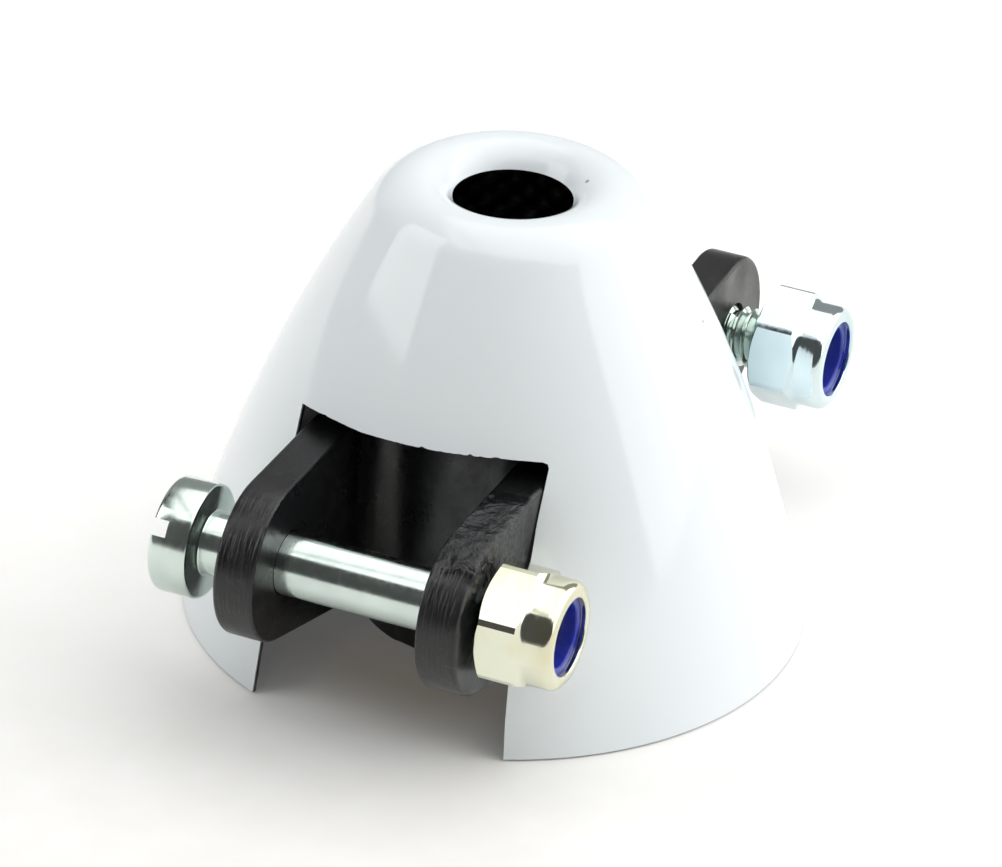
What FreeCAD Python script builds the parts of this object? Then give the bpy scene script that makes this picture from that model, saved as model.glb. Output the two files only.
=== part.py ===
import FreeCAD, Part
import os
from math import cos, radians, sin, sqrt, tan
from FreeCAD import Vector

# Propeller spinner for two folding blades. Millimetres.
# Origin on the spin axis in the plane of the shell's rim, +Z out of the nose.
# The two forks point along +X (front) and -X (rear), and the pivot screws lie along Y.

os.makedirs("parts", exist_ok=True)

# Shell: thin ogive of revolution with a rolled-in air intake at the nose
shell_base_radius = 15.0
shell_height = 22.6
shell_wall = 0.5
ogive_radius = 68.0
lip_crest_radius = 4.5
lip_outer_radius = 2.5
lip_inner_radius = 1.9
nose_hole_radius = 2.84

# Blade windows in the shell, their tops cut nearly square to the skin
window_height = 13.6
window_slope = 10.0
window_clearance = 0.2
window_corner = 0.3

# Yoke: a hub with two forks
hub_radius = 6.5
blade_gap = 8.14
ear_thickness = 2.03
pivot_reach = 15.1
pivot_height = 8.6
eye_radius = 3.84
underside_angle = 15.0
root_fillet = 1.6
ear_edge_round = 0.25
slot_edge_round = 0.15
boss_radius = 5.0
seat_height = 13.8

# Brass bush moulded into the hub
bush_radius = 4.0
bush_groove_depth = 0.5
bush_groove_width = 1.6
bush_groove_height = 8.2
shaft_radius = 1.585
shaft_clearance = 0.015
shaft_bore_depth = 9.0
drill_point_angle = 118.0
nose_thread_depth = 4.0

# Grub screws that clamp the motor shaft
grub_length = 3.0
grub_height = 5.8
grub_socket_width = 1.5
grub_socket_depth = 1.4
grub_cup_radius = 0.7
grub_cup_depth = 0.35
grub_setback = 0.05

# M3 thread, drawn plain, and the cheese head that its screws share
thread_radius = 1.48
shank_radius = 1.5
head_radius = 2.75
head_height = 2.0
head_edge_round = 0.35
slot_width = 0.8
slot_depth = 0.85
end_chamfer = 0.35

# Pivot screws
pivot_screw_length = 16.0
pivot_thread_length = 4.0
front_head_gap = 1.9
rear_head_gap = 0.4
front_slot_angle = 33.7
rear_slot_angle = 75.0

# Nose screw with its two washers, through the bulkhead
nose_screw_length = 6.0
nose_slot_angle = 20.0
washer_outer_radius = 3.5
washer_thickness = 0.5
spring_outer_radius = 3.0
spring_thickness = 0.8
spring_slit = 0.35
spring_slit_angle = 70.0

# Bulkhead bonded into the shell
bulkhead_thickness = 1.0
vent_count = 4
vent_radius = 1.4
vent_ring_radius = 6.6

# Lock nuts
nut_width = 5.3
nut_height = 3.7
nut_hex_height = 2.05
nut_corner_radius = 2.98
nut_face_radius = 2.55
nut_chamfer_angle = 30.0
collar_radius = 2.6
collar_edge_round = 0.45
collar_mouth_radius = 1.85
collar_lip = 0.3
front_nut_gap = 0.35
rear_nut_gap = 1.48
front_nut_turn = 25.6
rear_nut_turn = 44.2

# Nylon ring in each nut
ring_outer_radius = 2.15
ring_height = 0.85

# Clearances between pieces
bond_gap = 0.1
bush_fit = 0.02
thread_clearance = 0.04
pivot_clearance = 0.05
screw_clearance = 0.1
access_clearance = 0.15
ring_fit = 0.02

# How near its place an edge's middle has to be when it is picked for rounding
edge_search = 0.005

# Worked out from the sizes above
yoke_half_width = blade_gap / 2 + ear_thickness
yoke_top = pivot_height + eye_radius
blank_reach = hub_radius + root_fillet + 2 * ear_edge_round
tapped_radius = thread_radius + thread_clearance
shaft_bore_radius = shaft_radius + shaft_clearance
bulkhead_top = seat_height + bulkhead_thickness
tall = 4 * shell_height


def rz(radius, height):
    return Vector(radius, 0, height)


def revolve(edges):
    face = Part.Face(Part.Wire(Part.__sortEdges__(edges)))
    return face.revolve(Vector(0, 0, 0), Vector(0, 0, 1), 360)


def turned(points):
    closed = list(points) + [points[0]]
    return Part.Face(Part.makePolygon(closed)).revolve(Vector(0, 0, 0), Vector(0, 0, 1), 360)


def arc(start, middle, end):
    return Part.Arc(start, middle, end).toShape()


def line(start, end):
    return Part.LineSegment(start, end).toShape()


def hexPrism(width, height):
    corner = width / 2 / cos(radians(30))
    points = []
    for step in range(7):
        angle = radians(60 * step)
        points.append(Vector(corner * cos(angle), corner * sin(angle), 0))
    return Part.Face(Part.makePolygon(points)).extrude(Vector(0, 0, height))


def layAlongY(shape, x, y, turn):
    # From an upright piece at the origin to one that points along +Y through a pivot.
    # turn is counted from +X towards +Z about the screw.
    placed = shape.copy()
    placed.rotate(Vector(0, 0, 0), Vector(0, 0, 1), -turn)
    placed.rotate(Vector(0, 0, 0), Vector(1, 0, 0), -90)
    placed.translate(Vector(x, y, pivot_height))
    return placed


def lipOuterCentre():
    return rz(lip_crest_radius, shell_height - lip_outer_radius)


def lipInnerCentre():
    return rz(lip_crest_radius, shell_height - lip_inner_radius)


def ogiveCentre():
    # The circle through the rim that also touches the lip's outer circle
    rim = rz(shell_base_radius, 0)
    span = lipOuterCentre() - rim
    reach = span.Length
    near = ogive_radius
    far = ogive_radius - lip_outer_radius
    along = (near ** 2 - far ** 2 + reach ** 2) / (2 * reach)
    across = sqrt(near ** 2 - along ** 2)
    forward = span / reach
    inward = Vector(-forward.z, 0, forward.x)
    if inward.x > 0:
        inward = -inward
    return rim + forward * along + inward * across


def ogiveRadiusAt(height, inset):
    centre = ogiveCentre()
    return centre.x + sqrt((ogive_radius - inset) ** 2 - (height - centre.z) ** 2)


def onCircle(centre, direction, radius):
    return centre + direction * (radius / direction.Length)


def skinEdges(inset):
    # Rim to hole edge, along the skin or along a line set in from it
    outer = lipOuterCentre()
    inner = lipInnerCentre()
    ogive = ogiveCentre()
    rim = rz(ogiveRadiusAt(0, inset), 0)
    join = onCircle(outer, outer - ogive, lip_outer_radius - inset)
    crest = rz(lip_crest_radius, shell_height - inset)
    in_step = lip_crest_radius - nose_hole_radius
    in_rise = sqrt(lip_inner_radius ** 2 - in_step ** 2)
    hole = onCircle(inner, rz(-in_step, in_rise), lip_inner_radius - inset)
    ogive_middle = onCircle(ogive, (rim + join) / 2 - ogive, ogive_radius - inset)
    outer_middle = onCircle(outer, (join + crest) / 2 - outer, lip_outer_radius - inset)
    inner_middle = onCircle(inner, (crest + hole) / 2 - inner, lip_inner_radius - inset)
    edges = [
        arc(rim, ogive_middle, join),
        arc(join, outer_middle, crest),
        arc(crest, inner_middle, hole),
    ]
    return rim, edges, hole


def windowCutter(side):
    half_width = yoke_half_width + window_clearance
    reach = 2 * shell_base_radius
    skin = ogiveRadiusAt(window_height, 0)
    rise = tan(radians(window_slope))
    outline = [
        rz(0, -shell_height),
        rz(side * reach, -shell_height),
        rz(side * reach, window_height + rise * (reach - skin)),
        rz(0, window_height - rise * skin),
        rz(0, -shell_height),
    ]
    face = Part.Face(Part.makePolygon(outline))
    face.translate(Vector(0, -half_width, 0))
    block = face.extrude(Vector(0, 2 * half_width, 0))
    corners = []
    for edge in block.Edges:
        middle = edge.CenterOfMass
        on_side = abs(abs(middle.y) - half_width) < edge_search
        if on_side and middle.z > 0:
            corners.append(edge)
    return block.makeFillet(window_corner, corners)


def makeShell():
    outer_rim, outer_edges, outer_hole = skinEdges(0)
    inner_rim, inner_edges, inner_hole = skinEdges(shell_wall)
    ends = [line(outer_hole, inner_hole), line(inner_rim, outer_rim)]
    skin = revolve(outer_edges + inner_edges + ends)
    return skin.cut(windowCutter(1)).cut(windowCutter(-1))


def makeBulkhead():
    inset = shell_wall + bond_gap
    middle_height = seat_height + bulkhead_thickness / 2
    low = rz(ogiveRadiusAt(seat_height, inset), seat_height)
    middle = rz(ogiveRadiusAt(middle_height, inset), middle_height)
    high = rz(ogiveRadiusAt(bulkhead_top, inset), bulkhead_top)
    hole_radius = thread_radius + screw_clearance
    hole_low = rz(hole_radius, seat_height)
    hole_high = rz(hole_radius, bulkhead_top)
    disc = revolve([
        line(hole_low, low),
        arc(low, middle, high),
        line(high, hole_high),
        line(hole_high, hole_low),
    ])
    for step in range(vent_count):
        angle = radians(360 * (step + 0.5) / vent_count)
        centre = Vector(vent_ring_radius * cos(angle), vent_ring_radius * sin(angle), 0)
        disc = disc.cut(Part.makeCylinder(vent_radius, tall, centre))
    return disc


def undersideTouch():
    # Where the sloping underside meets the eye
    slope = radians(underside_angle)
    return pivot_reach + eye_radius * sin(slope), pivot_height - eye_radius * cos(slope)


def undersideAt(reach):
    touch_x, touch_z = undersideTouch()
    return touch_z - (touch_x - reach) * tan(radians(underside_angle))


def yokeBlock():
    # Both forks seen along Y: a flat top, round eyes and a sloping underside
    touch_x, touch_z = undersideTouch()
    half_slope = radians(underside_angle) / 2
    tip_x = pivot_reach + eye_radius * cos(half_slope)
    tip_z = pivot_height - eye_radius * sin(half_slope)
    edges = [
        line(rz(-blank_reach, 0), rz(blank_reach, 0)),
        line(rz(pivot_reach, yoke_top), rz(-pivot_reach, yoke_top)),
    ]
    for side in (1, -1):
        foot = rz(side * blank_reach, 0)
        root = rz(side * blank_reach, undersideAt(blank_reach))
        touch = rz(side * touch_x, touch_z)
        edges.append(line(foot, root))
        edges.append(line(root, touch))
        edges.append(arc(touch, rz(side * tip_x, tip_z), rz(side * pivot_reach, yoke_top)))
    face = Part.Face(Part.Wire(Part.__sortEdges__(edges)))
    face.translate(Vector(0, -yoke_half_width, 0))
    block = face.extrude(Vector(0, 2 * yoke_half_width, 0))
    rims = [edge for edge in block.Edges if abs(abs(edge.CenterOfMass.y) - yoke_half_width) < edge_search]
    return block.makeFillet(ear_edge_round, rims)


def undersideCutter(side):
    # What lies under the ears around the hub
    reach = blank_reach + ear_edge_round
    outline = Part.makePolygon([
        rz(0, -hub_radius),
        rz(side * reach, -hub_radius),
        rz(side * reach, undersideAt(reach)),
        rz(0, undersideAt(0)),
        rz(0, -hub_radius),
    ])
    face = Part.Face(outline)
    face.translate(Vector(0, -2 * yoke_half_width, 0))
    return face.extrude(Vector(0, 4 * yoke_half_width, 0)).cut(Part.makeCylinder(hub_radius, yoke_top))


def slotCutter():
    # Plan of the gap for a blade root: straight sides, filleted into the round hub
    half = blade_gap / 2
    fillet_y = half - root_fillet
    fillet_x = sqrt((hub_radius + root_fillet) ** 2 - fillet_y ** 2)
    share = hub_radius / (hub_radius + root_fillet)
    mouth_x = pivot_reach + 2 * eye_radius
    side_start = Vector(fillet_x, half, 0)
    hub_touch = Vector(fillet_x * share, fillet_y * share, 0)
    bend = (side_start + hub_touch) / 2 - Vector(fillet_x, fillet_y, 0)
    bend_middle = onCircle(Vector(fillet_x, fillet_y, 0), bend, root_fillet)
    flip = [Vector(point.x, -point.y, 0) for point in (side_start, bend_middle, hub_touch)]
    edges = [
        line(Vector(mouth_x, half, 0), side_start),
        arc(side_start, bend_middle, hub_touch),
        arc(hub_touch, Vector(hub_radius, 0, 0), flip[2]),
        arc(flip[2], flip[1], flip[0]),
        line(flip[0], Vector(mouth_x, -half, 0)),
        line(Vector(mouth_x, -half, 0), Vector(mouth_x, half, 0)),
    ]
    plan = Part.Face(Part.Wire(Part.__sortEdges__(edges)))
    plan.translate(Vector(0, 0, -shell_height))
    return plan.extrude(Vector(0, 0, tall))


def slotEdges(yoke):
    # The inner outline of each ear, outside the hub's own fillets
    chosen = []
    for edge in yoke.Edges:
        middle = edge.CenterOfMass
        flat = edge.BoundBox.YLength < edge_search
        on_ear = abs(abs(middle.y) - blade_gap / 2) < edge_search
        if flat and on_ear and abs(middle.x) > hub_radius + root_fillet:
            chosen.append(edge)
    return chosen


def bushOuter(extra):
    low = bush_groove_height
    high = bush_groove_height + bush_groove_width
    waist = bush_radius - bush_groove_depth + extra
    full = bush_radius + extra
    return turned([
        rz(0, 0),
        rz(full, 0),
        rz(full, low + extra),
        rz(waist, low + extra),
        rz(waist, high - extra),
        rz(full, high - extra),
        rz(full, seat_height),
        rz(0, seat_height),
    ])


def grubHoles(radius):
    length = 4 * hub_radius
    start = Vector(0, -length / 2, grub_height)
    return Part.makeCylinder(radius, length, start, Vector(0, 1, 0))


def makeYoke():
    slot = slotCutter()
    rear_slot = slot.copy()
    rear_slot.rotate(Vector(0, 0, 0), Vector(0, 0, 1), 180)
    hub = Part.makeCylinder(hub_radius, yoke_top)
    yoke = yokeBlock().fuse(hub).removeSplitter()
    yoke = yoke.cut(slot).cut(rear_slot)
    yoke = yoke.makeFillet(slot_edge_round, slotEdges(yoke))
    yoke = yoke.cut(undersideCutter(1)).cut(undersideCutter(-1))
    yoke = yoke.fuse(Part.makeCylinder(boss_radius, seat_height))
    yoke = yoke.cut(bushOuter(bush_fit))
    yoke = yoke.cut(grubHoles(thread_radius + access_clearance))
    bore_radius = shank_radius + pivot_clearance
    for x in (pivot_reach, -pivot_reach):
        start = Vector(x, -2 * yoke_half_width, pivot_height)
        yoke = yoke.cut(Part.makeCylinder(bore_radius, 4 * yoke_half_width, start, Vector(0, 1, 0)))
    return yoke.removeSplitter()


def makeBush():
    point = shaft_bore_radius / tan(radians(drill_point_angle / 2))
    shaft_bore = turned([
        rz(0, 0),
        rz(shaft_bore_radius, 0),
        rz(shaft_bore_radius, shaft_bore_depth - point),
        rz(0, shaft_bore_depth),
    ])
    tapped = Part.makeCylinder(tapped_radius, nose_thread_depth, rz(0, seat_height - nose_thread_depth))
    return bushOuter(0).cut(shaft_bore).cut(tapped).cut(grubHoles(tapped_radius))


def grubScrew():
    body = turned([
        rz(0, grub_cup_depth),
        rz(grub_cup_radius, 0),
        rz(thread_radius - end_chamfer, 0),
        rz(thread_radius, end_chamfer),
        rz(thread_radius, grub_length - end_chamfer / 2),
        rz(thread_radius - end_chamfer / 2, grub_length),
        rz(0, grub_length),
    ])
    socket = hexPrism(grub_socket_width, grub_socket_depth)
    socket.translate(rz(0, grub_length - grub_socket_depth))
    return body.cut(socket)


def makeGrub(side):
    screw = grubScrew()
    screw.rotate(Vector(0, 0, 0), Vector(1, 0, 0), -90 * side)
    screw.translate(Vector(0, side * (shaft_bore_radius + grub_setback), grub_height))
    return screw


def headSlot():
    return Part.makeBox(
        4 * head_radius,
        slot_width,
        slot_depth,
        Vector(-2 * head_radius, -slot_width / 2, -head_height),
    )


def cheeseHeadScrew(length, thread_length):
    # Origin under the head, shank along +Z
    neck = length - thread_length
    crown = head_height - head_edge_round
    lean = head_edge_round * sqrt(0.5)
    edges = [
        line(rz(0, -head_height), rz(head_radius - head_edge_round, -head_height)),
        arc(
            rz(head_radius - head_edge_round, -head_height),
            rz(head_radius - head_edge_round + lean, -crown - lean),
            rz(head_radius, -crown),
        ),
        line(rz(head_radius, -crown), rz(head_radius, 0)),
        line(rz(head_radius, 0), rz(shank_radius, 0)),
        line(rz(shank_radius, 0), rz(shank_radius, neck)),
        line(rz(shank_radius, neck), rz(thread_radius, neck)),
        line(rz(thread_radius, neck), rz(thread_radius, length - end_chamfer)),
        line(rz(thread_radius, length - end_chamfer), rz(thread_radius - end_chamfer, length)),
        line(rz(thread_radius - end_chamfer, length), rz(0, length)),
        line(rz(0, length), rz(0, -head_height)),
    ]
    return revolve(edges).cut(headSlot())


def makePivotScrew(x, head_gap, slot_angle):
    screw = cheeseHeadScrew(pivot_screw_length, pivot_thread_length)
    return layAlongY(screw, x, -yoke_half_width - head_gap, slot_angle)


def lockNut():
    # Origin on the bearing face, collar towards +Z
    slope = tan(radians(nut_chamfer_angle))
    face_rise = (nut_corner_radius - nut_face_radius) * slope
    shoulder = nut_hex_height + (nut_corner_radius - collar_radius) * slope
    bend = collar_edge_round * (1 - sqrt(0.5))
    crown = nut_height - collar_edge_round
    lip = nut_height - collar_lip
    seat = lip - ring_height
    edges = [
        line(rz(tapped_radius, 0), rz(nut_face_radius, 0)),
        line(rz(nut_face_radius, 0), rz(nut_corner_radius, face_rise)),
        line(rz(nut_corner_radius, face_rise), rz(nut_corner_radius, nut_hex_height)),
        line(rz(nut_corner_radius, nut_hex_height), rz(collar_radius, shoulder)),
        line(rz(collar_radius, shoulder), rz(collar_radius, crown)),
        arc(
            rz(collar_radius, crown),
            rz(collar_radius - bend, nut_height - bend),
            rz(collar_radius - collar_edge_round, nut_height),
        ),
        line(rz(collar_radius - collar_edge_round, nut_height), rz(collar_mouth_radius, nut_height)),
        line(rz(collar_mouth_radius, nut_height), rz(collar_mouth_radius, lip)),
        line(rz(collar_mouth_radius, lip), rz(ring_outer_radius, lip)),
        line(rz(ring_outer_radius, lip), rz(ring_outer_radius, seat)),
        line(rz(ring_outer_radius, seat), rz(tapped_radius, seat)),
        line(rz(tapped_radius, seat), rz(tapped_radius, 0)),
    ]
    return revolve(edges).common(hexPrism(nut_width, nut_height))


def makeLockNut(x, nut_gap, turn):
    return layAlongY(lockNut(), x, yoke_half_width + nut_gap, turn)


def makeNylonRing(x, nut_gap):
    seat = nut_height - collar_lip - ring_height
    outer = ring_outer_radius - ring_fit
    height = ring_height - 2 * ring_fit
    ring = Part.makeCylinder(outer, height).cut(Part.makeCylinder(tapped_radius, height))
    ring.translate(rz(0, seat + ring_fit))
    return layAlongY(ring, x, yoke_half_width + nut_gap, 0)


def makeWasher():
    outer = Part.makeCylinder(washer_outer_radius, washer_thickness)
    washer = outer.cut(Part.makeCylinder(thread_radius + screw_clearance, washer_thickness))
    washer.translate(rz(0, bulkhead_top))
    return washer


def makeSpringWasher():
    outer = Part.makeCylinder(spring_outer_radius, spring_thickness)
    washer = outer.cut(Part.makeCylinder(thread_radius + screw_clearance, spring_thickness))
    corner = Vector(0, -spring_slit / 2, 0)
    slit = Part.makeBox(2 * spring_outer_radius, spring_slit, spring_thickness, corner)
    slit.rotate(Vector(0, 0, 0), Vector(0, 0, 1), spring_slit_angle)
    washer = washer.cut(slit)
    washer.translate(rz(0, bulkhead_top + washer_thickness))
    return washer


def makeNoseScrew():
    screw = cheeseHeadScrew(nose_screw_length, nose_screw_length - end_chamfer)
    screw.rotate(Vector(0, 0, 0), Vector(1, 0, 0), 180)
    screw.rotate(Vector(0, 0, 0), Vector(0, 0, 1), nose_slot_angle)
    screw.translate(rz(0, bulkhead_top + washer_thickness + spring_thickness))
    return screw


def buildAll():
    return {
        "shell": makeShell(),
        "bulkhead": makeBulkhead(),
        "yoke": makeYoke(),
        "hub_bush": makeBush(),
        "grub_screw_left": makeGrub(-1),
        "grub_screw_right": makeGrub(1),
        "nose_screw": makeNoseScrew(),
        "nose_washer": makeWasher(),
        "spring_washer": makeSpringWasher(),
        "pivot_screw_front": makePivotScrew(pivot_reach, front_head_gap, front_slot_angle),
        "pivot_screw_rear": makePivotScrew(-pivot_reach, rear_head_gap, rear_slot_angle),
        "lock_nut_front": makeLockNut(pivot_reach, front_nut_gap, front_nut_turn),
        "lock_nut_rear": makeLockNut(-pivot_reach, rear_nut_gap, rear_nut_turn),
        "nylon_ring_front": makeNylonRing(pivot_reach, front_nut_gap),
        "nylon_ring_rear": makeNylonRing(-pivot_reach, rear_nut_gap),
    }


for name, shape in buildAll().items():
    shape.exportStep("parts/" + name + ".step")
    box = shape.BoundBox
    print("%-18s solids %d valid %s volume %8.3f  x %.2f..%.2f y %.2f..%.2f z %.2f..%.2f" % (
        name, len(shape.Solids), shape.isValid(), shape.Volume,
        box.XMin, box.XMax, box.YMin, box.YMax, box.ZMin, box.ZMax))
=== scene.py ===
import math
import random

import bmesh
import bpy
from mathutils import Matrix, Vector


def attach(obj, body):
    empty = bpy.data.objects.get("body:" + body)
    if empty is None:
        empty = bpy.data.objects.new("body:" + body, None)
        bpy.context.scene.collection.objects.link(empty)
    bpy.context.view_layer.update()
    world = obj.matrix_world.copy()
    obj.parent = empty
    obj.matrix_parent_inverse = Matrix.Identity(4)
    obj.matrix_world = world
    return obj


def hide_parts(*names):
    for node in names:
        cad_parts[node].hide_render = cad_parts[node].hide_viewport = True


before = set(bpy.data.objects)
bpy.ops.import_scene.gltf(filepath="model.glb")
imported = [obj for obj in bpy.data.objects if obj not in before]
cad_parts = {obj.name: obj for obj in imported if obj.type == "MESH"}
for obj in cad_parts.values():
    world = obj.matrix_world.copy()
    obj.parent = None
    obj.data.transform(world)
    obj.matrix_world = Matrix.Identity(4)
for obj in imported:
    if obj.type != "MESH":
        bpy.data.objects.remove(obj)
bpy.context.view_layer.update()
print("frame loaded:", len(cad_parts), "nodes")


# Camera: metres, degrees and millimetres of lens

camera = {
    "distance": 0.328125,  # metres from the spin axis at the rim
    "azimuth": 22.5,       # from +X towards +Y
    "elevation": 30.833,
    "turn": -0.00247,
    "tilt": -1.36163,
    "roll": -2.83968,
    "lens": 244.406,
    "sensor": 36.0,
    "clipStart": 0.02,
    "clipEnd": 20.0,
}


def makeCamera(size):
    turn, rise = math.radians(size["azimuth"]), math.radians(size["elevation"])
    back = Vector((math.cos(rise) * math.cos(turn), math.cos(rise) * math.sin(turn), math.sin(rise)))
    right = Vector((-math.sin(turn), math.cos(turn), 0))
    view = Matrix((right, back.cross(right), back))
    for angle, axis in ((size["turn"], "Y"), (size["tilt"], "X"), (size["roll"], "Z")):
        view = Matrix.Rotation(math.radians(angle), 3, axis) @ view
    data = bpy.data.cameras.new("camera")
    data.lens = size["lens"]
    data.sensor_width = size["sensor"]
    data.clip_start, data.clip_end = size["clipStart"], size["clipEnd"]
    item = bpy.data.objects.new("camera", data)
    item.matrix_world = Matrix.Translation(back * size["distance"]) @ view.transposed().to_4x4()
    bpy.context.scene.collection.objects.link(item)
    bpy.context.scene.camera = item


makeCamera(camera)
bpy.context.scene.view_settings.view_transform = "Standard"


# Helpers for nodes

def colour(code):
    # sRGB hex to the linear values that a shader takes
    parts = [int(code[i:i + 2], 16) / 255 for i in (1, 3, 5)]
    return [c / 12.92 if c <= 0.04045 else ((c + 0.055) / 1.055) ** 2.4 for c in parts] + [1.0]


def perMetre(millimetres):
    # the scale that makes one cell of a pattern this wide
    return 1000 / millimetres


def setInputs(tree, node, inputs):
    # each input is given a value or the socket that feeds it
    for name, value in inputs.items():
        if isinstance(value, bpy.types.NodeSocket):
            tree.links.new(value, node.inputs[name])
        else:
            node.inputs[name].default_value = value


def addNode(tree, kind, inputs=None, **settings):
    node = tree.nodes.new("ShaderNode" + kind)
    for name, value in settings.items():
        setattr(node, name, value)
    setInputs(tree, node, inputs or {})
    return node


def startMaterial(name):
    material = bpy.data.materials.new(name)
    material.use_nodes = True
    tree = material.node_tree
    place = addNode(tree, "TexCoord").outputs["Object"]
    return material, tree, tree.nodes["Principled BSDF"], place


# Materials

def gelcoatMaterial():
    # polished white polyester gelcoat: wet-looking gloss, a trace of orange peel, a few dark dust specks
    material, tree, shader, place = startMaterial("gelcoat_polished")
    cloud = addNode(tree, "TexNoise", {"Vector": place, "Scale": perMetre(6), "Detail": 3})
    tint = addNode(tree, "Mix", {"Factor": cloud.outputs["Fac"], "A": colour("#E8EEF1"),
                                 "B": colour("#EDF3F5")}, data_type="RGBA")
    cells = addNode(tree, "TexVoronoi", {"Vector": place, "Scale": perMetre(1.9)})
    pick = addNode(tree, "SeparateColor", {"Color": cells.outputs["Color"]})
    rare = addNode(tree, "Math", {0: pick.outputs["Red"], 1: 0.965}, operation="GREATER_THAN")
    near = addNode(tree, "MapRange", {"Value": cells.outputs["Distance"], "From Min": 0.03,
                                      "From Max": 0.075, "To Min": 1, "To Max": 0})
    speck = addNode(tree, "Math", {0: rare.outputs[0], 1: near.outputs[0]}, operation="MULTIPLY")
    mixed = addNode(tree, "Mix", {"Factor": speck.outputs[0], "A": tint.outputs["Result"],
                                  "B": colour("#8E8C88")}, data_type="RGBA")
    peel = addNode(tree, "TexNoise", {"Vector": place, "Scale": perMetre(1.4), "Detail": 2})
    bump = addNode(tree, "Bump", {"Height": peel.outputs["Fac"], "Strength": 0.12, "Distance": 0.00002})
    rough = addNode(tree, "MapRange", {"Value": cloud.outputs["Fac"], "To Min": 0.05, "To Max": 0.1})
    setInputs(tree, shader, {"Base Color": mixed.outputs["Result"], "Roughness": rough.outputs[0],
                             "IOR": 1.5, "Normal": bump.outputs["Normal"]})
    return material


def laminateMaterial():
    # wet-laid black cloth in epoxy: near black, glossy, a plain weave of 0.8 mm tows whose crowns are painted a
    # lighter brown as painted glints
    material, tree, shader, place = startMaterial("laminate_black_weave")
    split = addNode(tree, "SeparateXYZ", {"Vector": place})
    around = addNode(tree, "Math", {0: split.outputs["Y"], 1: split.outputs["X"]}, operation="ARCTAN2")
    tow, meanRadius = 0.8, 10.0  # millimetres
    waveRound = addNode(tree, "Math", {0: around.outputs[0], 1: math.pi * meanRadius / tow},
                        operation="MULTIPLY")
    waveUp = addNode(tree, "Math", {0: split.outputs["Z"], 1: math.pi * perMetre(tow)}, operation="MULTIPLY")
    sines = [addNode(tree, "Math", {0: wave.outputs[0]}, operation="SINE") for wave in (waveRound, waveUp)]
    weave = addNode(tree, "Math", {0: sines[0].outputs[0], 1: sines[1].outputs[0]}, operation="MULTIPLY")
    fleck = addNode(tree, "TexNoise", {"Vector": place, "Scale": perMetre(0.3), "Detail": 4})
    # painted glint: the crowns of the weave are coloured lighter brown
    paintedGlint = addNode(tree, "MapRange", {"Value": weave.outputs[0], "From Min": 0.35, "From Max": 0.95})
    shade = addNode(tree, "Mix", {"Factor": paintedGlint.outputs[0], "A": colour("#131318"),
                                  "B": colour("#57534A")}, data_type="RGBA")
    height = addNode(tree, "Math", {0: weave.outputs[0], 1: fleck.outputs["Fac"]}, operation="ADD")
    bump = addNode(tree, "Bump", {"Height": height.outputs[0], "Strength": 0.6, "Distance": 0.00008})
    setInputs(tree, shader, {"Base Color": shade.outputs["Result"], "Roughness": 0.3, "IOR": 1.55,
                             "Normal": bump.outputs["Normal"]})
    return material


# where the moulding shows handling, and on the hub where sheen is painted: each zone is a product of steps
# along an axis, from nothing to full, in millimetres
nylonZones = {
    "dustAndSheenHub": (("X", 3.0, 4.6), ("X", 9.5, 7.5), ("Y", -1.8, 0.2), ("Z", 13.2, 9.5)),
    "filedEar": (("X", 10.5, 11.5), ("X", 17.6, 16.6), ("Y", 3.9, 4.1), ("Z", 9.5, 10.5)),
    "strokedEyes": (("X", 15.5, 17.0), ("Z", 6.8, 8.2)),
}


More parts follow.
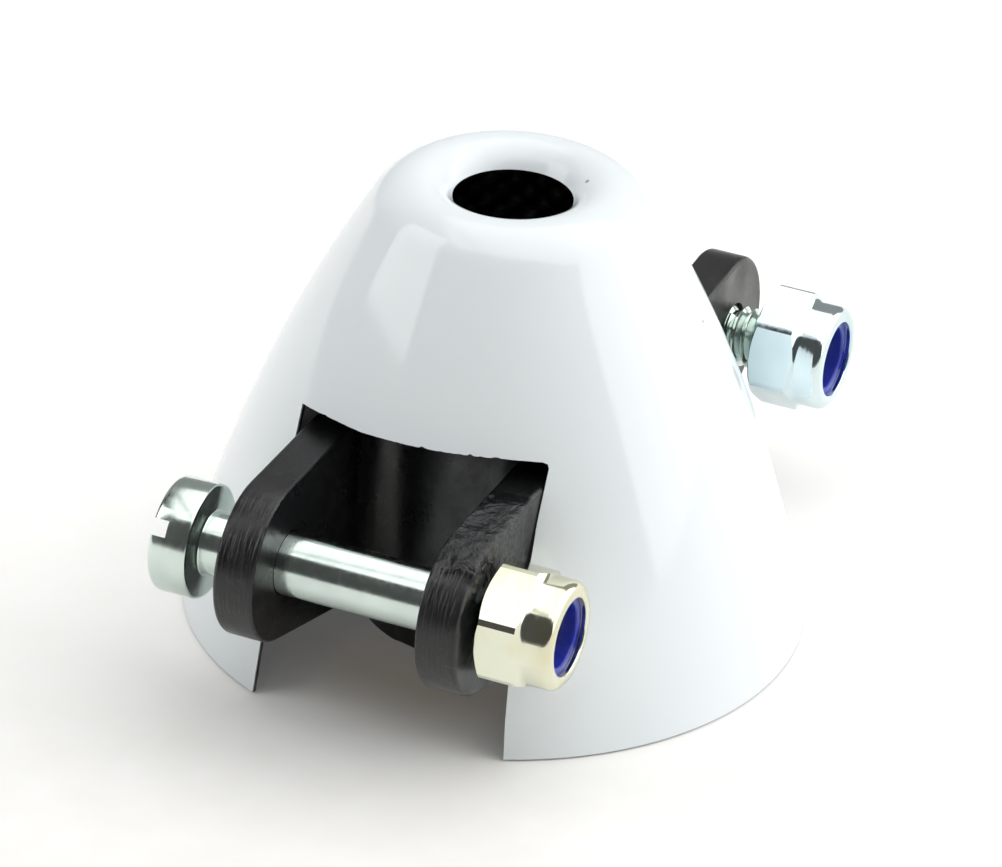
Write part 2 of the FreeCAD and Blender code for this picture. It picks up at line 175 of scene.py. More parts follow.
def nylonMaterial(zones):
    # injection-moulded glass-filled nylon: soft black sheen, fine grain, a pitted front ear that was filed by
    # hand, file strokes round the eyes, and on the hub in the slot a patchy lighter grey that is dust and
    # painted sheen
    material, tree, shader, place = startMaterial("nylon_moulded_black")
    split = addNode(tree, "SeparateXYZ", {"Vector": place})
    masks = {}
    for zone, steps in zones.items():
        masks[zone] = 1.0
        for letter, low, high in steps:
            step = addNode(tree, "MapRange", {"Value": split.outputs[letter], "From Min": low / 1000,
                                              "From Max": high / 1000}, interpolation_type="SMOOTHSTEP")
            masks[zone] = addNode(tree, "Math", {0: masks[zone], 1: step.outputs[0]},
                                  operation="MULTIPLY").outputs[0]
    grain = addNode(tree, "TexNoise", {"Vector": place, "Scale": perMetre(0.16), "Detail": 5,
                                       "Roughness": 0.6})
    cloud = addNode(tree, "TexNoise", {"Vector": place, "Scale": perMetre(1.6), "Detail": 4})
    fibre = addNode(tree, "TexNoise", {"Vector": place, "Scale": perMetre(0.5), "Detail": 6,
                                       "Distortion": 1.5})
    fleck = addNode(tree, "MapRange", {"Value": fibre.outputs["Fac"], "From Min": 0.56, "From Max": 0.72})
    shade = addNode(tree, "Mix", {"Factor": fleck.outputs[0], "A": colour("#0D0E10"),
                                  "B": colour("#232427")}, data_type="RGBA")
    worn = addNode(tree, "TexNoise", {"Vector": place, "Scale": perMetre(0.9), "Detail": 5})
    patchy = addNode(tree, "MapRange", {"Value": worn.outputs["Fac"], "From Min": 0.25, "From Max": 0.6})
    # dust and painted sheen: the hub wall in the slot is coloured a patchy lighter grey where light falls on it
    dustAndSheen = addNode(tree, "Math", {0: masks["dustAndSheenHub"], 1: patchy.outputs[0]}, operation="MULTIPLY")
    shade = addNode(tree, "Mix", {"Factor": dustAndSheen.outputs[0], "A": shade.outputs["Result"],
                                  "B": colour("#43494D")}, data_type="RGBA")
    rough = addNode(tree, "MapRange", {"Value": cloud.outputs["Fac"], "From Min": 0.3, "From Max": 0.7,
                                       "To Min": 0.24, "To Max": 0.42})
    height = addNode(tree, "Math", {0: grain.outputs["Fac"], 1: cloud.outputs["Fac"]}, operation="ADD")
    bump = addNode(tree, "Bump", {"Height": height.outputs[0], "Strength": 0.35, "Distance": 0.00003})
    pits = addNode(tree, "TexVoronoi", {"Vector": place, "Scale": perMetre(0.75), "Randomness": 1.0},
                   feature="SMOOTH_F1")
    lumps = addNode(tree, "TexNoise", {"Vector": place, "Scale": perMetre(0.6), "Detail": 4,
                                       "Distortion": 0.8})
    rugged = addNode(tree, "Math", {0: pits.outputs["Distance"], 1: lumps.outputs["Fac"]}, operation="ADD")
    pitted = addNode(tree, "Math", {0: rugged.outputs[0], 1: masks["filedEar"]}, operation="MULTIPLY")
    bump = addNode(tree, "Bump", {"Height": pitted.outputs[0], "Strength": 0.9, "Distance": 0.00032,
                                  "Normal": bump.outputs["Normal"]})
    stretch = addNode(tree, "Mapping", {"Vector": place, "Scale": (0.12, 1, 0.12)})
    strokes = addNode(tree, "TexNoise", {"Vector": stretch.outputs[0], "Scale": perMetre(0.2), "Detail": 3})
    stroked = addNode(tree, "Math", {0: strokes.outputs["Fac"], 1: masks["strokedEyes"]},
                      operation="MULTIPLY")
    bump = addNode(tree, "Bump", {"Height": stroked.outputs[0], "Strength": 0.8, "Distance": 0.00008,
                                  "Normal": bump.outputs["Normal"]})
    setInputs(tree, shader, {"Base Color": shade.outputs["Result"], "Roughness": rough.outputs[0],
                             "IOR": 1.53, "Normal": bump.outputs["Normal"]})
    return material


def zincMaterial(name, low, high, roughLow, roughHigh):
    # bright zinc plate on turned steel: mirror bands, faint tool rings (drawn coarser than real ones, so
    # that they show) and a cloudy passivate tint
    material, tree, shader, place = startMaterial(name)
    cloud = addNode(tree, "TexNoise", {"Vector": place, "Scale": perMetre(3.2), "Detail": 2})
    spread = addNode(tree, "MapRange", {"Value": cloud.outputs["Fac"], "From Min": 0.35, "From Max": 0.65})
    shade = addNode(tree, "Mix", {"Factor": spread.outputs[0], "A": colour(low),
                                  "B": colour(high)}, data_type="RGBA")
    stretch = addNode(tree, "Mapping", {"Vector": place, "Scale": (0.06, 1, 0.06)})
    rings = addNode(tree, "TexNoise", {"Vector": stretch.outputs[0], "Scale": perMetre(0.12), "Detail": 2})
    fine = addNode(tree, "TexNoise", {"Vector": place, "Scale": perMetre(0.3), "Detail": 3})
    height = addNode(tree, "Math", {0: rings.outputs["Fac"], 1: fine.outputs["Fac"]}, operation="ADD")
    bump = addNode(tree, "Bump", {"Height": height.outputs[0], "Strength": 0.15, "Distance": 0.00001})
    rough = addNode(tree, "MapRange", {"Value": fine.outputs["Fac"], "From Min": 0.3, "From Max": 0.7,
                                       "To Min": roughLow, "To Max": roughHigh})
    setInputs(tree, shader, {"Base Color": shade.outputs["Result"], "Metallic": 1.0,
                             "Roughness": rough.outputs[0], "Normal": bump.outputs["Normal"]})
    return material


def blueNylonMaterial():
    # dyed nylon washer pressed into the nut: deep blue, slightly waxy
    material, tree, shader, place = startMaterial("nylon_blue_insert")
    cloud = addNode(tree, "TexNoise", {"Vector": place, "Scale": perMetre(0.5), "Detail": 3})
    shade = addNode(tree, "Mix", {"Factor": cloud.outputs["Fac"], "A": colour("#1B2590"),
                                  "B": colour("#2E3CB4")}, data_type="RGBA")
    bump = addNode(tree, "Bump", {"Height": cloud.outputs["Fac"], "Strength": 0.2, "Distance": 0.00002})
    setInputs(tree, shader, {"Base Color": shade.outputs["Result"], "Roughness": 0.32, "IOR": 1.53,
                             "Normal": bump.outputs["Normal"]})
    return material


def brassMaterial():
    # turned free-cutting brass: warm yellow with close tool rings, drawn coarser than real ones
    material, tree, shader, place = startMaterial("brass_turned")
    stretch = addNode(tree, "Mapping", {"Vector": place, "Scale": (0.05, 0.05, 1)})
    rings = addNode(tree, "TexNoise", {"Vector": stretch.outputs[0], "Scale": perMetre(0.1), "Detail": 2})
    shade = addNode(tree, "Mix", {"Factor": rings.outputs["Fac"], "A": colour("#C9A050"),
                                  "B": colour("#E2C274")}, data_type="RGBA")
    bump = addNode(tree, "Bump", {"Height": rings.outputs["Fac"], "Strength": 0.3, "Distance": 0.00001})
    setInputs(tree, shader, {"Base Color": shade.outputs["Result"], "Metallic": 1.0, "Roughness": 0.24,
                             "Normal": bump.outputs["Normal"]})
    return material


def blackSteelMaterial():
    # hardened steel, chemically blackened: oily dark grey
    material, tree, shader, place = startMaterial("steel_blackened")
    cloud = addNode(tree, "TexNoise", {"Vector": place, "Scale": perMetre(0.6), "Detail": 4})
    shade = addNode(tree, "Mix", {"Factor": cloud.outputs["Fac"], "A": colour("#232220"),
                                  "B": colour("#3B3A38")}, data_type="RGBA")
    bump = addNode(tree, "Bump", {"Height": cloud.outputs["Fac"], "Strength": 0.2, "Distance": 0.00001})
    setInputs(tree, shader, {"Base Color": shade.outputs["Result"], "Metallic": 1.0, "Roughness": 0.36,
                             "Normal": bump.outputs["Normal"]})
    return material


def fibreBoardMaterial():
    # pressed glass-fibre board: matt, greenish brown, with a 0.5 mm weave faintly showing
    material, tree, shader, place = startMaterial("fibre_board_pressed")
    split = addNode(tree, "SeparateXYZ", {"Vector": place})
    weave = 1.0
    for letter in ("X", "Y"):
        scaled = addNode(tree, "Math", {0: split.outputs[letter], 1: math.pi * perMetre(0.5)},
                         operation="MULTIPLY")
        wave = addNode(tree, "Math", {0: scaled.outputs[0]}, operation="SINE")
        weave = addNode(tree, "Math", {0: weave, 1: wave.outputs[0]}, operation="MULTIPLY").outputs[0]
    cloud = addNode(tree, "TexNoise", {"Vector": place, "Scale": perMetre(1.2), "Detail": 4})
    shade = addNode(tree, "Mix", {"Factor": cloud.outputs["Fac"], "A": colour("#4C4638"),
                                  "B": colour("#6E6650")}, data_type="RGBA")
    bump = addNode(tree, "Bump", {"Height": weave, "Strength": 0.4, "Distance": 0.00003})
    setInputs(tree, shader, {"Base Color": shade.outputs["Result"], "Roughness": 0.55, "IOR": 1.5,
                             "Normal": bump.outputs["Normal"]})
    return material


finishes = {
    "gelcoat": gelcoatMaterial(),
    "laminate": laminateMaterial(),
    "nylon": nylonMaterial(nylonZones),
    "zinc": zincMaterial("zinc_bright_turned", "#C9D6D0", "#D9E6DF", 0.12, 0.22),
    "warmNut": zincMaterial("zinc_nut_straw", "#DCD8B8", "#E4E6D2", 0.07, 0.16),
    "coolNut": zincMaterial("zinc_nut_blue", "#C9DADF", "#DCEAEC", 0.06, 0.14),
    "blueNylon": blueNylonMaterial(),
    "brass": brassMaterial(),
    "blackSteel": blackSteelMaterial(),
    "fibreBoard": fibreBoardMaterial(),
}
print("materials made:", len(finishes))


# Helpers for meshes, in millimetres

fork = {
    "pivotReach": 15.1,
    "pivotHeight": 8.6,
    "halfWidth": 6.1,
    "rearShift": -0.38,  # the rear window and fork sit a little off centre
}


def addArc(bm, point, centre, degrees, steps):
    # sweeps a profile's end point round a centre in the XZ plane, +X towards +Z
    made = bmesh.ops.spin(bm, geom=[point], cent=(centre[0], 0, centre[1]), axis=(0, -1, 0),
                          angle=math.radians(degrees), steps=steps, use_merge=False, use_duplicate=False)
    return [item for item in made["geom_last"] if isinstance(item, bmesh.types.BMVert)][0]


def spinRound(bm, steps):
    bmesh.ops.spin(bm, geom=bm.verts[:] + bm.edges[:], cent=(0, 0, 0), axis=(0, 0, 1), angle=2 * math.pi,
                   steps=steps, use_merge=True, use_duplicate=False)
    bmesh.ops.remove_doubles(bm, verts=bm.verts, dist=0.0002)
    bmesh.ops.recalc_face_normals(bm, faces=bm.faces)


def turnedSolid(points, steps, rounds=()):
    # a profile of (radius, height) points spun about Z; rounds are (radius, height, size) of rings to soften
    bm = bmesh.new()
    line = [bm.verts.new((radius, 0, height)) for radius, height in points]
    for first, second in zip(line, line[1:]):
        bm.edges.new((first, second))
    if points[0][0] > 0:
        bm.edges.new((line[-1], line[0]))
    spinRound(bm, steps)
    for radius, height, size in rounds:
        near = {vert for vert in bm.verts if abs(math.hypot(vert.co.x, vert.co.y) - radius) < 0.002
                and abs(vert.co.z - height) < 0.002}
        ring = [edge for edge in bm.edges if near.issuperset(edge.verts)]
        bmesh.ops.bevel(bm, geom=ring, offset=size, offset_type="OFFSET", affect="EDGES", segments=4,
                        profile=0.5, material=-1)
    return bm


def block(low, high):
    bm = bmesh.new()
    bmesh.ops.create_cube(bm, size=1)
    low, high = Vector(low), Vector(high)
    bmesh.ops.scale(bm, vec=high - low, verts=bm.verts)
    bmesh.ops.translate(bm, vec=(low + high) / 2, verts=bm.verts)
    return bm


def carve(solid, tool, operation="DIFFERENCE"):
    # joins or cuts two closed meshes and hands back one
    items = []
    for bm in (solid, tool):
        mesh = bpy.data.meshes.new("carving")
        bm.to_mesh(mesh)
        bm.free()
        item = bpy.data.objects.new("carving", mesh)
        bpy.context.scene.collection.objects.link(item)
        items.append(item)
    modifier = items[0].modifiers.new("carve", "BOOLEAN")
    modifier.operation = operation
    modifier.solver = "EXACT"
    modifier.object = items[1]
    ready = items[0].evaluated_get(bpy.context.evaluated_depsgraph_get())
    made = bmesh.new()
    made.from_mesh(ready.data)
    for item in items:
        mesh = item.data
        bpy.data.objects.remove(item)
        bpy.data.meshes.remove(mesh)
    return made


def layAlongY(bm, x, y, turn):
    # an upright piece is laid along +Y through a pivot; turn is counted from +X towards +Z
    place = Matrix.Translation((x, y, fork["pivotHeight"]))
    tip = Matrix.Rotation(math.radians(-90), 4, "X")
    bm.transform(place @ tip @ Matrix.Rotation(math.radians(-turn), 4, "Z"))


def finishPiece(bm, name, body, nodes, material, sharp=32):
    # millimetres become metres, and edges sharper than the given angle stay crisp
    bmesh.ops.remove_doubles(bm, verts=bm.verts, dist=0.0003)
    bmesh.ops.scale(bm, vec=(0.001, 0.001, 0.001), verts=bm.verts)
    mesh = bpy.data.meshes.new(name)
    bm.to_mesh(mesh)
    bm.free()
    mesh.materials.append(material)
    mesh.shade_smooth()
    mesh.set_sharp_from_angle(angle=math.radians(sharp))
    item = bpy.data.objects.new(name, mesh)
    bpy.context.scene.collection.objects.link(item)
    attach(item, body)
    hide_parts(*nodes)
    print("made", name, "with", len(mesh.polygons), "faces")
    return item


# Shell: two layers, white gelcoat over black laminate

shell = {
    "baseRadius": 14.995,
    "height": 22.6,
    "wall": 0.3,
    "gelcoat": 0.12,
    "ogive": 68.0,
    "crestRadius": 4.5,
    "lipOuter": 2.5,
    "lipInner": 1.9,
    "holeRadius": 2.84,
    "windowOutline": [(-6.36, -4), (-6.36, 0), (-6.29, 2.6), (-6.45, 12), (-6.47, 13.5), (-4.58, 13.56),
                      (-2.73, 13.51), (-0.91, 13.57), (0.63, 13.61), (2.46, 13.69), (4.29, 13.76),
                      (5.85, 13.76), (6.07, 13.68), (6.15, 13.46), (6.16, 11), (6.22, 9.4), (6.24, 3.5),
                      (6.34, 1.9), (6.51, 0), (6.51, -4)],  # across and up, as sawn by hand
    "windowSlope": 10.0,   # degrees that the top of a window rises outwards
    "windowReach": 10.5,   # how far out the outline's top is true
    "slopeFrom": 11.5,     # the outline above this height slopes
    "cutterLength": 24,
    "sawStep": 0.16,       # sides shorter than sawnSide are split this finely
    "sawnSide": 2.5,
    "sawWander": 0.012,
    "chip": 0.1,
    "chipShare": 0.16,     # of the points along the top edge
    "chipFrom": 13.4,
    "chipHalfWidth": 5.9,
    "proud": 0.035,        # how far the laminate stands out of the sawn gelcoat
    "rimGap": 0.07,        # the gelcoat stops short of the ground rim
    "rimWave": 0.05,
    "steps": 192,
    "arcSteps": (44, 14, 12),  # side, outside of the lip, funnel
}


def ogiveCentre(size):
    # the circle through the rim that also touches the lip's outer circle
    rim = Vector((size["baseRadius"], 0))
    span = Vector((size["crestRadius"], size["height"] - size["lipOuter"])) - rim
    near, far = size["ogive"], size["ogive"] - size["lipOuter"]
    along = (near ** 2 - far ** 2 + span.length_squared) / (2 * span.length)
    across = math.sqrt(near ** 2 - along ** 2)
    ahead = span.normalized()
    return rim + ahead * along + Vector((-ahead.y, ahead.x)) * across


def skinProfile(bm, size, inset):
    # rim to hole edge, along the outer skin or a line set in from it
    ogive = ogiveCentre(size)
    outer = Vector((size["crestRadius"], size["height"] - size["lipOuter"]))
    inner = (size["crestRadius"], size["height"] - size["lipInner"])
    radius = size["ogive"] - inset
    start = -math.asin(ogive.y / radius)
    join = math.atan2(outer.y - ogive.y, outer.x - ogive.x)
    hole = math.acos((size["holeRadius"] - size["crestRadius"]) / size["lipInner"])
    sideSteps, lipSteps, funnelSteps = size["arcSteps"]
    first = bm.verts.new((ogive.x + radius * math.cos(start), 0, 0))
    last = addArc(bm, first, ogive, math.degrees(join - start), sideSteps)
    last = addArc(bm, last, outer, math.degrees(math.pi / 2 - join), lipSteps)
    last.co.x, last.co.z = size["crestRadius"], size["height"] - inset
    last = addArc(bm, last, inner, math.degrees(hole - math.pi / 2), funnelSteps)
    return first, last


def windowTool(size, front, inner):
    # a blade window's cutter: sawn edges that wander a little, with chips out of the top edge
    dice = random.Random((7 if front else 11) + (20 if inner else 0))
    bm = bmesh.new()
    inset = size["proud"] if inner else 0
    points = [bm.verts.new((0, across - math.copysign(inset, across), up - inset))
              for across, up in size["windowOutline"]]
    edges = [bm.edges.new(pair) for pair in zip(points, points[1:] + points[:1])]
    for edge in edges:
        if edge.calc_length() < size["sawnSide"]:
            bmesh.ops.subdivide_edges(bm, edges=[edge], cuts=int(edge.calc_length() / size["sawStep"]))
    for vert in bm.verts:
        high = vert.co.z > size["chipFrom"] and abs(vert.co.y) < size["chipHalfWidth"]
        chipped = high and dice.random() < size["chipShare"]
        vert.co.z += (size["chip"] if chipped else size["sawWander"]) * dice.random()
    face = bmesh.ops.contextual_create(bm, geom=bm.edges[:])["faces"]
    made = bmesh.ops.extrude_face_region(bm, geom=face)
    moved = [item for item in made["geom"] if isinstance(item, bmesh.types.BMVert)]
    bmesh.ops.translate(bm, vec=(size["cutterLength"], 0, 0), verts=moved)
    rise = math.tan(math.radians(size["windowSlope"]))
    for vert in bm.verts:
        if vert.co.z > size["slopeFrom"]:
            vert.co.z += rise * (vert.co.x - size["windowReach"])
    if not front:
        bmesh.ops.rotate(bm, cent=(0, 0, 0), matrix=Matrix.Rotation(math.pi, 3, "Z"), verts=bm.verts)
        bmesh.ops.translate(bm, vec=(0, fork["rearShift"], 0), verts=bm.verts)
    bmesh.ops.recalc_face_normals(bm, faces=bm.faces)
    return bm


def makeShellLayer(size, name, outside, inside, material):
    # one layer of the shell, between two depths below the outer skin
    bm = bmesh.new()
    rims, holes = zip(*(skinProfile(bm, size, inset) for inset in (outside, inside)))
    bm.edges.new(rims)
    bm.edges.new(holes)
    spinRound(bm, size["steps"])
    dice = random.Random(3)
    waves = [(dice.randint(3, 17), dice.random() * 6.3) for wave in range(5)]
    for vert in bm.verts:
        if vert.co.z < 0.001:
            around = math.atan2(vert.co.y, vert.co.x)
            ripple = sum(math.sin(count * around + turn) for count, turn in waves)
            vert.co.z = size["rimWave"] * (0.5 + ripple / 10)
            vert.co.z += size["rimGap"] if outside == 0 else 0
    for front in (True, False):
        bm = carve(bm, windowTool(size, front, outside > 0))
    finishPiece(bm, name, "spinner", ["shell"], material)


makeShellLayer(shell, "shell_gelcoat", 0, shell["gelcoat"], finishes["gelcoat"])
makeShellLayer(shell, "shell_laminate", shell["gelcoat"], shell["wall"], finishes["laminate"])


# Screws

screws = {
    "headRadius": 2.75,
    "headHeight": 2.0,
    "headRound": 0.3,
    "underRound": 0.16,
    "rootRound": 0.12,
    "length": 16.0,
    "threadLength": 4.0,
    "slotWidth": 0.8,
    "slotDepth": 0.85,
    "shankRadius": 1.5,
    "threadRadius": 1.48,
    "threadDepth": 0.29,
    "pitch": 0.5,
    "threadRises": (0, 0.07, 0.44, 0.56, 0.93, 1),  # shares of a pitch: root, flank, crest, flank, root
    "flankFoot": 0.05,
    "runOutSlope": 0.6,
    "runOut": 0.25,
    "threadSink": 0.03,    # how far the run-out dips into the core
    "coreChamfer": 0.05,
    "endChamfer": 0.35,
    "turnSteps": 48,
    "steps": 96,
    "front": {"headGap": 1.9, "turn": 33.7},
    "rear": {"headGap": 0.4, "turn": 75.0},
}


def threadSkin(size, start, end):
    # one pitch of the V profile swept up a right-hand helix, then trimmed to the run-out and the end chamfer
    crest, root, pitch = size["threadRadius"], size["threadRadius"] - size["threadDepth"], size["pitch"]
    foot = root + size["flankFoot"]
    bm = bmesh.new()
    line = [bm.verts.new((radius, 0, start + rise * pitch))
            for radius, rise in zip((root, foot, crest, crest, foot, root), size["threadRises"])]
    for first, second in zip(line, line[1:]):
        bm.edges.new((first, second))
    turns = round((end - start) / pitch) - 1
    bmesh.ops.spin(bm, geom=bm.verts[:] + bm.edges[:], cent=(0, 0, 0), axis=(0, 0, 1),
                   angle=2 * math.pi * turns, steps=size["turnSteps"] * turns,
                   dvec=(0, 0, pitch / size["turnSteps"]), use_merge=False, use_duplicate=False)
    bmesh.ops.remove_doubles(bm, verts=bm.verts, dist=0.0005)
    for vert in bm.verts:
        radius = math.hypot(vert.co.x, vert.co.y)
        allowed = min(crest, root + (vert.co.z - start) * size["runOutSlope"],
                      crest - (vert.co.z - end + size["endChamfer"]))
        shrink = min(radius, max(allowed, root - size["threadSink"])) / radius
        vert.co.x *= shrink
        vert.co.y *= shrink
    return bm


def screwSolid(size):
    # origin under the head, shank along +Z
    length, top = size["length"], -size["headHeight"]
    neck = length - size["threadLength"]
    root = size["threadRadius"] - size["threadDepth"]
    points = [(0, top), (size["headRadius"], top), (size["headRadius"], 0), (size["shankRadius"], 0),
              (size["shankRadius"], neck), (root, neck + size["runOut"]), (root, length - size["coreChamfer"]),
              (root - size["coreChamfer"], length), (0, length)]
    rounds = [(size["headRadius"], top, size["headRound"]), (size["headRadius"], 0, size["underRound"]),
              (size["shankRadius"], 0, size["rootRound"])]
    bm = turnedSolid(points, size["steps"], rounds)
    half = size["slotWidth"] / 2
    tool = block((-5, -half, top - 1), (5, half, size["slotDepth"] - size["headHeight"]))
    bm = carve(bm, tool)
    thread = threadSkin(size, neck, length)
    mesh = bpy.data.meshes.new("thread")
    thread.to_mesh(mesh)
    thread.free()
    bm.from_mesh(mesh)
    bpy.data.meshes.remove(mesh)
    return bm


def makePivotScrew(size, side, x):
    name = "pivot_screw_" + side
    bm = screwSolid(size)
    layAlongY(bm, x, -fork["halfWidth"] - size[side]["headGap"], size[side]["turn"])
    finishPiece(bm, name + "_plated", side + "_pin", [name], finishes["zinc"])


makePivotScrew(screws, "front", fork["pivotReach"])
makePivotScrew(screws, "rear", -fork["pivotReach"])


# Lock nuts and their rings

nut = {
    "width": 5.3,
    "height": 3.7,
    "hexHeight": 2.05,
    "cornerRadius": 2.98,
    "faceRadius": 2.55,
    "boreRadius": 1.52,
    "collarRadius": 2.6,
    "collarRound": 0.45,
    "mouthRadius": 1.85,
    "lip": 0.3,
    "ringRadius": 2.15,
    "ringHeight": 0.85,
    "ringFit": 0.02,
    "cornerRound": 0.1,
    "shoulderRound": 0.18,
    "mouthRound": 0.07,
    "ringRounds": (0.12, 0.06),  # top and bottom of the ring's bore
    "chamferAngle": 30,
    "steps": 120,
    "ringSteps": 72,
    "front": {"gap": 0.35, "turn": 25.6, "finish": "warmNut"},
    "rear": {"gap": 1.48, "turn": 44.2, "finish": "coolNut"},
}


def nutSolid(size):
    # origin on the seat: a turned blank with a collar, trimmed by a hexagonal prism
    slope = math.tan(math.radians(size["chamferAngle"]))
    shoulder = size["hexHeight"] + (size["cornerRadius"] - size["collarRadius"]) * slope
    foot = (size["cornerRadius"] - size["faceRadius"]) * slope
    top, lip = size["height"], size["height"] - size["lip"]
    seat = lip - size["ringHeight"]
    points = [(size["boreRadius"], 0), (size["faceRadius"], 0), (size["cornerRadius"], foot),
              (size["cornerRadius"], size["hexHeight"]), (size["collarRadius"], shoulder),
              (size["collarRadius"], top), (size["mouthRadius"], top), (size["mouthRadius"], lip),
              (size["ringRadius"], lip), (size["ringRadius"], seat), (size["boreRadius"], seat)]
    rounds = [(size["collarRadius"], top, size["collarRound"]),
              (size["collarRadius"], shoulder, size["shoulderRound"]),
              (size["mouthRadius"], top, size["mouthRound"])]
    bm = turnedSolid(points, size["steps"], rounds)
    corner = size["width"] / 2 / math.cos(math.radians(30))
    prism = bmesh.new()
    bmesh.ops.create_circle(prism, cap_ends=True, radius=corner, segments=6)
    bmesh.ops.rotate(prism, cent=(0, 0, 0), matrix=Matrix.Rotation(math.radians(30), 3, "Z"),
                     verts=prism.verts)
    bmesh.ops.translate(prism, vec=(0, 0, -1), verts=prism.verts)
    made = bmesh.ops.extrude_face_region(prism, geom=prism.faces[:])
    moved = [item for item in made["geom"] if isinstance(item, bmesh.types.BMVert)]
    bmesh.ops.translate(prism, vec=(0, 0, 6), verts=moved)
    upright = [edge for edge in prism.edges if abs(edge.verts[0].co.z - edge.verts[1].co.z) > 1]
    bmesh.ops.bevel(prism, geom=upright, offset=size["cornerRound"], affect="EDGES", segments=3,
                    profile=0.5, material=-1)
    bmesh.ops.recalc_face_normals(prism, faces=prism.faces)
    return carve(bm, prism, "INTERSECT")


def makeLockNut(size, side, x):
    y = fork["halfWidth"] + size[side]["gap"]
    bm = nutSolid(size)
    layAlongY(bm, x, y, size[side]["turn"])
    finishPiece(bm, "lock_nut_" + side + "_plated", side + "_nut", ["lock_nut_" + side],
                finishes[size[side]["finish"]], 24)
    bore, outer = size["boreRadius"], size["ringRadius"] - size["ringFit"]
    seat = size["height"] - size["lip"] - size["ringHeight"] + size["ringFit"]
    top = seat + size["ringHeight"] - 2 * size["ringFit"]
    topRound, seatRound = size["ringRounds"]
    bm = turnedSolid([(bore, seat), (outer, seat), (outer, top), (bore, top)], size["ringSteps"],
                     [(bore, top, topRound), (bore, seat, seatRound)])
    layAlongY(bm, x, y, 0)
    finishPiece(bm, "nylon_ring_" + side + "_dyed", side + "_nut", ["nylon_ring_" + side],
                finishes["blueNylon"])


makeLockNut(nut, "front", fork["pivotReach"])
makeLockNut(nut, "rear", -fork["pivotReach"])


# Yoke

yoke = {
    "bendFrom": 6.5,
    "bendTo": 12.0,
}


def makeYoke(size):
    # the solid yoke, with its rear fork eased sideways over the distance from bendFrom to bendTo
    bm = bmesh.new()
    bm.from_mesh(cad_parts["yoke"].data)
    bmesh.ops.remove_doubles(bm, verts=bm.verts, dist=0.000001)
    bmesh.ops.scale(bm, vec=(1000, 1000, 1000), verts=bm.verts)
    for vert in bm.verts:
        share = min(max((-vert.co.x - size["bendFrom"]) / (size["bendTo"] - size["bendFrom"]), 0), 1)
        vert.co.y += fork["rearShift"] * share * share * (3 - 2 * share)
    item = finishPiece(bm, "yoke_moulded", "spinner", ["yoke"], finishes["nylon"], 28)
    even = item.modifiers.new("even", "WEIGHTED_NORMAL")
    even.keep_sharp = True


makeYoke(yoke)


# Solids shown as they are, with a finish

carried = {
    "bulkhead": "fibreBoard",
    "hub_bush": "brass",
    "grub_screw_left": "blackSteel",
    "grub_screw_right": "blackSteel",
    "nose_screw": "zinc",
    "nose_washer": "zinc",
    "spring_washer": "zinc",
}
for node, finish in carried.items():
    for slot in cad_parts[node].material_slots:
        slot.material = finishes[finish]
print("carried solids finished:", len(carried))


# Studio

floor = {
    "size": 1.6,
    "card": ("#EFEEEA", "#F8F7F5"),
    "paintedShade": "#8F8067",     # painted shade: the card is coloured a darker grey-brown under the part, where its shadow falls
    "paintedShadeFrom": 0.009,
    "paintedShadeTo": 0.0152,
    "ahead": (-0.924, -0.383, 0),
    "glowFrom": -0.03,     # metres ahead of the part where the glow starts and is full
    "glowTo": 0.02,
    "glow": 0.16,
}


def makeFloor(size):
    bm = bmesh.new()
    bmesh.ops.create_grid(bm, x_segments=2, y_segments=2, size=size["size"])
    mesh = bpy.data.meshes.new("floor")
    bm.to_mesh(mesh)
    bm.free()
    item = bpy.data.objects.new("floor", mesh)
    bpy.context.scene.collection.objects.link(item)
    # matt white card: warm white on the near side, plain white behind the part
    material, tree, shader, place = startMaterial("card_matt")
    cloud = addNode(tree, "TexNoise", {"Vector": place, "Scale": perMetre(3), "Detail": 5})
    low, high = size["card"]
    shade = addNode(tree, "Mix", {"Factor": cloud.outputs["Fac"], "A": colour(low), "B": colour(high)},
                    data_type="RGBA")
    # painted shade: the card darkens towards the spin axis, under the part
    reach = addNode(tree, "VectorMath", {0: place}, operation="LENGTH")
    under = addNode(tree, "MapRange", {"Value": reach.outputs["Value"], "From Min": size["paintedShadeFrom"],
                                       "From Max": size["paintedShadeTo"], "To Min": 1, "To Max": 0},
                    interpolation_type="SMOOTHSTEP")
    shade = addNode(tree, "Mix", {"Factor": under.outputs[0], "A": shade.outputs["Result"],
                                  "B": colour(size["paintedShade"])}, data_type="RGBA")
    away = addNode(tree, "VectorMath", {0: place, 1: size["ahead"]}, operation="DOT_PRODUCT")
    glow = addNode(tree, "MapRange", {"Value": away.outputs["Value"], "From Min": size["glowFrom"],
                                      "From Max": size["glowTo"], "To Min": 0, "To Max": size["glow"]})
    ray = addNode(tree, "LightPath")
    seen = addNode(tree, "Math", {0: ray.outputs["Is Camera Ray"], 1: ray.outputs["Is Transmission Ray"]},
                   operation="MAXIMUM")
    seen = addNode(tree, "Math", {0: seen.outputs[0], 1: ray.outputs["Is Glossy Ray"]}, operation="MAXIMUM")
    lit = addNode(tree, "Math", {0: glow.outputs[0], 1: seen.outputs[0]}, operation="MULTIPLY")
    setInputs(tree, shader, {"Base Color": shade.outputs["Result"], "Roughness": 0.9,
                             "Specular IOR Level": 0.1, "Emission Color": (1, 1, 1, 1),
                             "Emission Strength": lit.outputs[0]})
    mesh.materials.append(material)


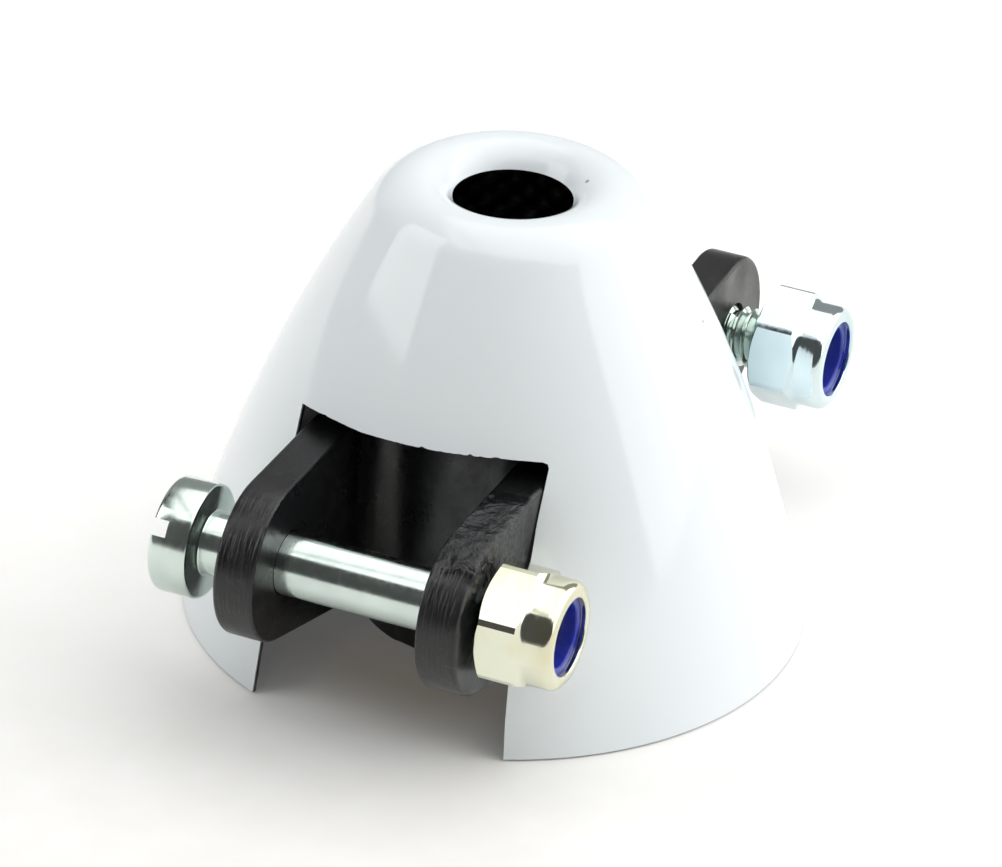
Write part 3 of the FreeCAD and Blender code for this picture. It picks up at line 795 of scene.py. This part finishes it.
# The room that lights the part and shows in its gloss: panels of light, each given by its corners as (azimuth
# from +X towards +Y, elevation), how soft its edges are and how bright it is
room = {
    "dark": 0.08,
    "horizon": 0.2,      # added at the horizon, gone by horizonTop
    "horizonTop": 0.1,
    "panels": [
        {"corners": ((-91.6, 42.8), (-77.0, 10.0), (-36.5, 18.0), (-60.0, 60.0)), "soft": 0.03, "light": 2.4},
        {"corners": ((94.0, -12.0), (78.0, 24.0), (140.0, 69.0), (155.0, 60.0), (155.0, -5.0)),
         "soft": 0.05, "light": 2.3},
        {"corners": ((-39.6, 53.0), (70.1, 30.4), (120.7, 28.3), (212.3, 41.7)), "soft": 0.07,
         "light": 1.68},
        {"corners": ((155.0, -5.0), (155.0, 41.0), (250.0, 41.0), (250.0, -5.0)), "soft": 0.05,
         "light": 0.33},
    ],
    "joint": (-0.377, 0.926, 0.338),  # the plane of a thin dark joint between two ceiling lights
    "jointHalf": 0.022,
    "jointDim": 0.45,
    "jointAbove": 0.8,
}


def heading(azimuth, elevation):
    turn, rise = math.radians(azimuth), math.radians(elevation)
    return Vector((math.cos(rise) * math.cos(turn), math.cos(rise) * math.sin(turn), math.sin(rise)))


def makeRoom(size):
    world = bpy.data.worlds.new("room")
    bpy.context.scene.world = world
    world.use_nodes = True
    tree = world.node_tree
    direction = addNode(tree, "TexCoord").outputs["Generated"]
    split = addNode(tree, "SeparateXYZ", {"Vector": direction})
    level = addNode(tree, "MapRange", {"Value": split.outputs["Z"], "From Min": 0,
                                       "From Max": size["horizonTop"], "To Min": size["dark"] + size["horizon"],
                                       "To Max": size["dark"]}).outputs[0]
    for panel in size["panels"]:
        corners = [heading(*corner) for corner in panel["corners"]]
        middle = sum(corners, Vector()).normalized()
        mask = 1.0
        for first, second in zip(corners, corners[1:] + corners[:1]):
            across = first.cross(second).normalized()
            across = across if across.dot(middle) > 0 else -across
            inside = addNode(tree, "VectorMath", {0: direction, 1: across}, operation="DOT_PRODUCT")
            edge = addNode(tree, "MapRange", {"Value": inside.outputs["Value"],
                                              "From Min": -panel["soft"] / 2, "From Max": panel["soft"] / 2},
                           interpolation_type="SMOOTHSTEP")
            mask = addNode(tree, "Math", {0: mask, 1: edge.outputs[0]}, operation="MULTIPLY").outputs[0]
        glow = addNode(tree, "Math", {0: mask, 1: panel["light"]}, operation="MULTIPLY")
        level = addNode(tree, "Math", {0: level, 1: glow.outputs[0]}, operation="MAXIMUM").outputs[0]
    plane = addNode(tree, "VectorMath", {0: direction, 1: size["joint"]}, operation="DOT_PRODUCT")
    away = addNode(tree, "Math", {0: plane.outputs["Value"]}, operation="ABSOLUTE")
    joint = addNode(tree, "MapRange", {"Value": away.outputs[0], "From Min": size["jointHalf"],
                                       "From Max": 2 * size["jointHalf"], "To Min": size["jointDim"],
                                       "To Max": 1})
    below = addNode(tree, "Math", {0: split.outputs["Z"], 1: size["jointAbove"]}, operation="LESS_THAN")
    dim = addNode(tree, "Math", {0: joint.outputs[0], 1: below.outputs[0]}, operation="MAXIMUM")
    level = addNode(tree, "Math", {0: level, 1: dim.outputs[0]}, operation="MULTIPLY").outputs[0]
    # plain white where the floor ends; the gloss keeps the panels
    ray = addNode(tree, "LightPath")
    seen = addNode(tree, "Math", {0: ray.outputs["Is Camera Ray"], 1: ray.outputs["Is Transmission Ray"]},
                   operation="MAXIMUM")
    strength = addNode(tree, "Mix", {"Factor": seen.outputs[0], "A": level, "B": 1.0}, data_type="FLOAT")
    shade = tree.nodes["Background"]
    tree.links.new(strength.outputs["Result"], shade.inputs["Strength"])
    shade.inputs["Color"].default_value = (1, 1, 1, 1)


makeFloor(floor)
makeRoom(room)
print("studio made")
